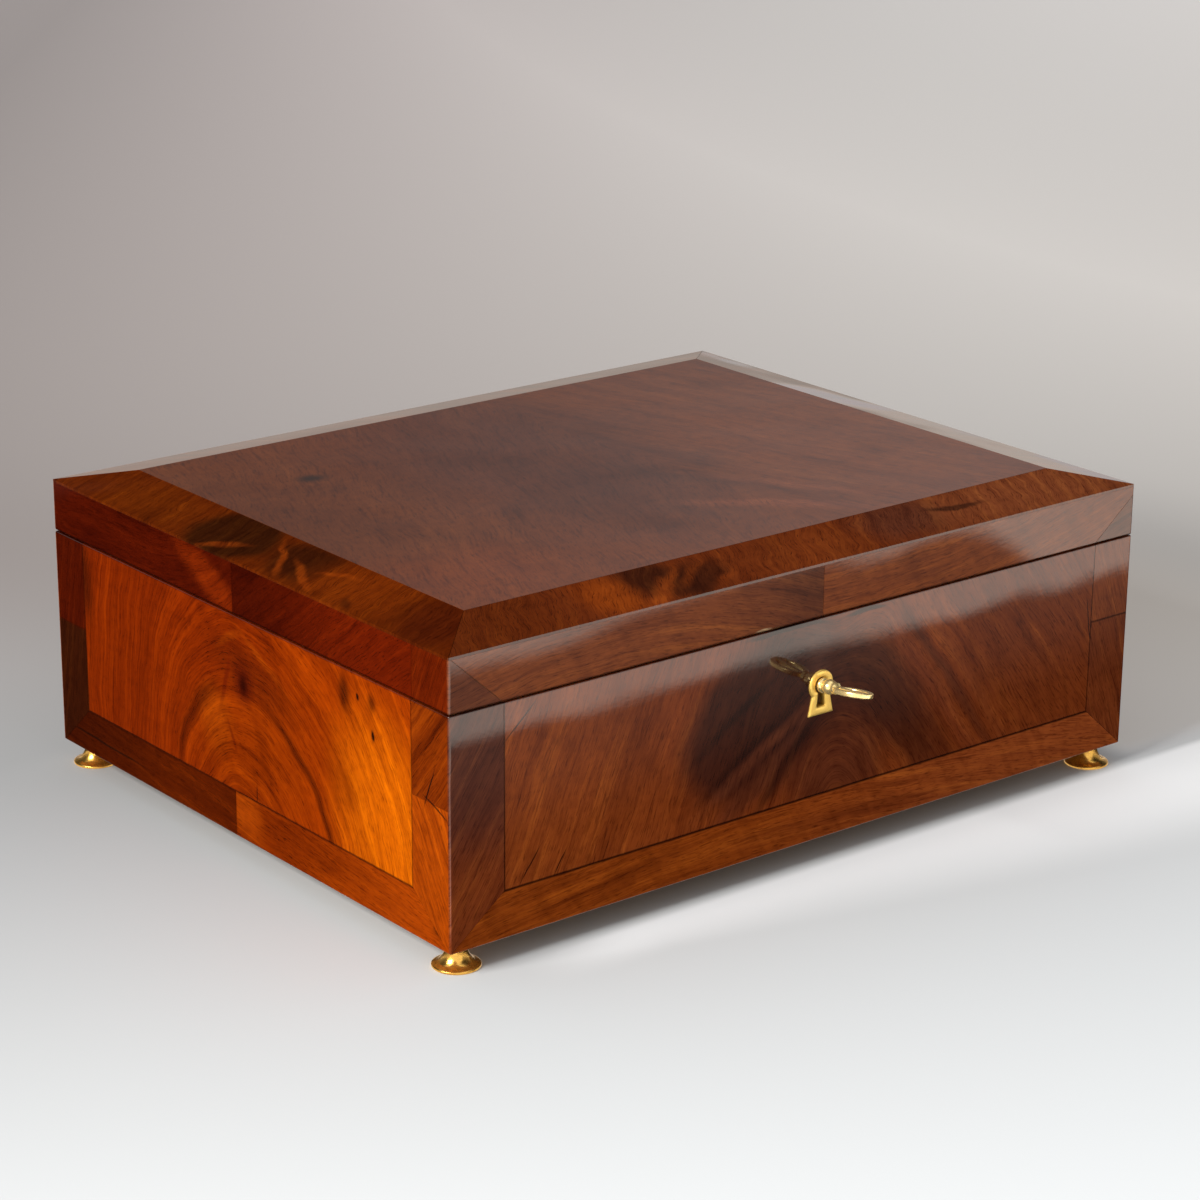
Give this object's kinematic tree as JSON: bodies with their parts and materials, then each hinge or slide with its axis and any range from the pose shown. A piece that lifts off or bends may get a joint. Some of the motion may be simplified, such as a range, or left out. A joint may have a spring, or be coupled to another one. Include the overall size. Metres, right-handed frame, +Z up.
{
  "type": "jewelry casket",
  "caption": "Rectangular veneered wooden casket with a hinged lid canted round its top, turned brass disc feet, a keyhole plate, and a box lock worked by a pipe key.",
  "frame": {"origin": "on the floor, under the middle of the bounding box of the whole casket with its key", "axes": "+X to the right along the front with the keyhole, +Y from the front to the back, +Z up"},
  "size_m": [0.3426, 0.2968, 0.1263],
  "materials": {
    "softwood": "satin",
    "mahogany_veneer": "gloss",
    "dark_mahogany_veneer": "gloss",
    "lining_cloth": "matte",
    "gilt_brass": "polished",
    "pale_brass": "polished",
    "hinge_brass": "satin",
    "steel": "satin"
  },
  "bodies": {
    "case": {"front_board": "softwood", "back_board": "softwood", "left_board": "softwood", "right_board": "softwood", "bottom_board": "softwood", "front_panel_veneer": "mahogany_veneer", "front_left_band": "dark_mahogany_veneer", "front_right_band": "mahogany_veneer", "front_bottom_band": "mahogany_veneer", "left_panel_veneer": "mahogany_veneer", "left_back_band": "dark_mahogany_veneer", "left_front_band": "mahogany_veneer", "left_bottom_band": "mahogany_veneer", "right_panel_veneer": "mahogany_veneer", "right_front_band": "mahogany_veneer", "right_back_band": "mahogany_veneer", "right_bottom_band": "mahogany_veneer", "back_veneer": "mahogany_veneer", "floor_lining": "lining_cloth", "front_lining": "lining_cloth", "back_lining": "lining_cloth", "left_lining": "lining_cloth", "right_lining": "lining_cloth", "foot_front_left": "gilt_brass", "foot_front_right": "gilt_brass", "foot_back_left": "gilt_brass", "foot_back_right": "gilt_brass", "left_hinge_body_leaf": "hinge_brass", "right_hinge_body_leaf": "hinge_brass", "hinge_pins": "steel", "hinge_body_screws": "steel", "lock_plate": "hinge_brass", "lock_cap": "steel", "lock_pin": "steel", "lock_screws": "steel", "bolt_spring": "steel", "escutcheon": "gilt_brass"},
    "lid": {"lid_top_board": "softwood", "lid_front_rail": "softwood", "lid_back_rail": "softwood", "lid_left_rail": "softwood", "lid_right_rail": "softwood", "lid_front_veneer_left": "dark_mahogany_veneer", "lid_front_veneer_right": "mahogany_veneer", "lid_left_veneer": "mahogany_veneer", "lid_right_veneer": "mahogany_veneer", "lid_back_veneer": "mahogany_veneer", "bevel_front": "mahogany_veneer", "bevel_back": "mahogany_veneer", "bevel_left": "mahogany_veneer", "bevel_right": "mahogany_veneer", "lid_panel_veneer": "mahogany_veneer", "lid_lining": "lining_cloth", "left_hinge_lid_leaf": "hinge_brass", "right_hinge_lid_leaf": "hinge_brass", "hinge_lid_screws": "steel", "link_plate": "steel", "link_screws": "steel"},
    "bolt": {"lock_bolt": "steel"},
    "key": {"key": "pale_brass"}
  },
  "joints": [
    {"name": "lid_hinge", "type": "hinge", "parent": "case", "child": "lid", "pos_m": [0, 0.14613, 0.0997], "axis": [-1, 0, 0], "range_deg": [0, 97]},
    {"name": "key_turn", "type": "hinge", "parent": "case", "child": "key", "pos_m": [0.0024, -0.12187, 0.07265], "axis": [0, 0.9945, -0.1045], "range_deg": [0, 154]},
    {"name": "bolt_slide", "type": "slide", "parent": "case", "child": "bolt", "axis": [1, 0, 0], "range_m": [0, 0.006]}
  ],
  "couplings": [
    {"joint": "key_turn", "follows": "bolt_slide", "rad_per_m": 447.96}
  ]
}
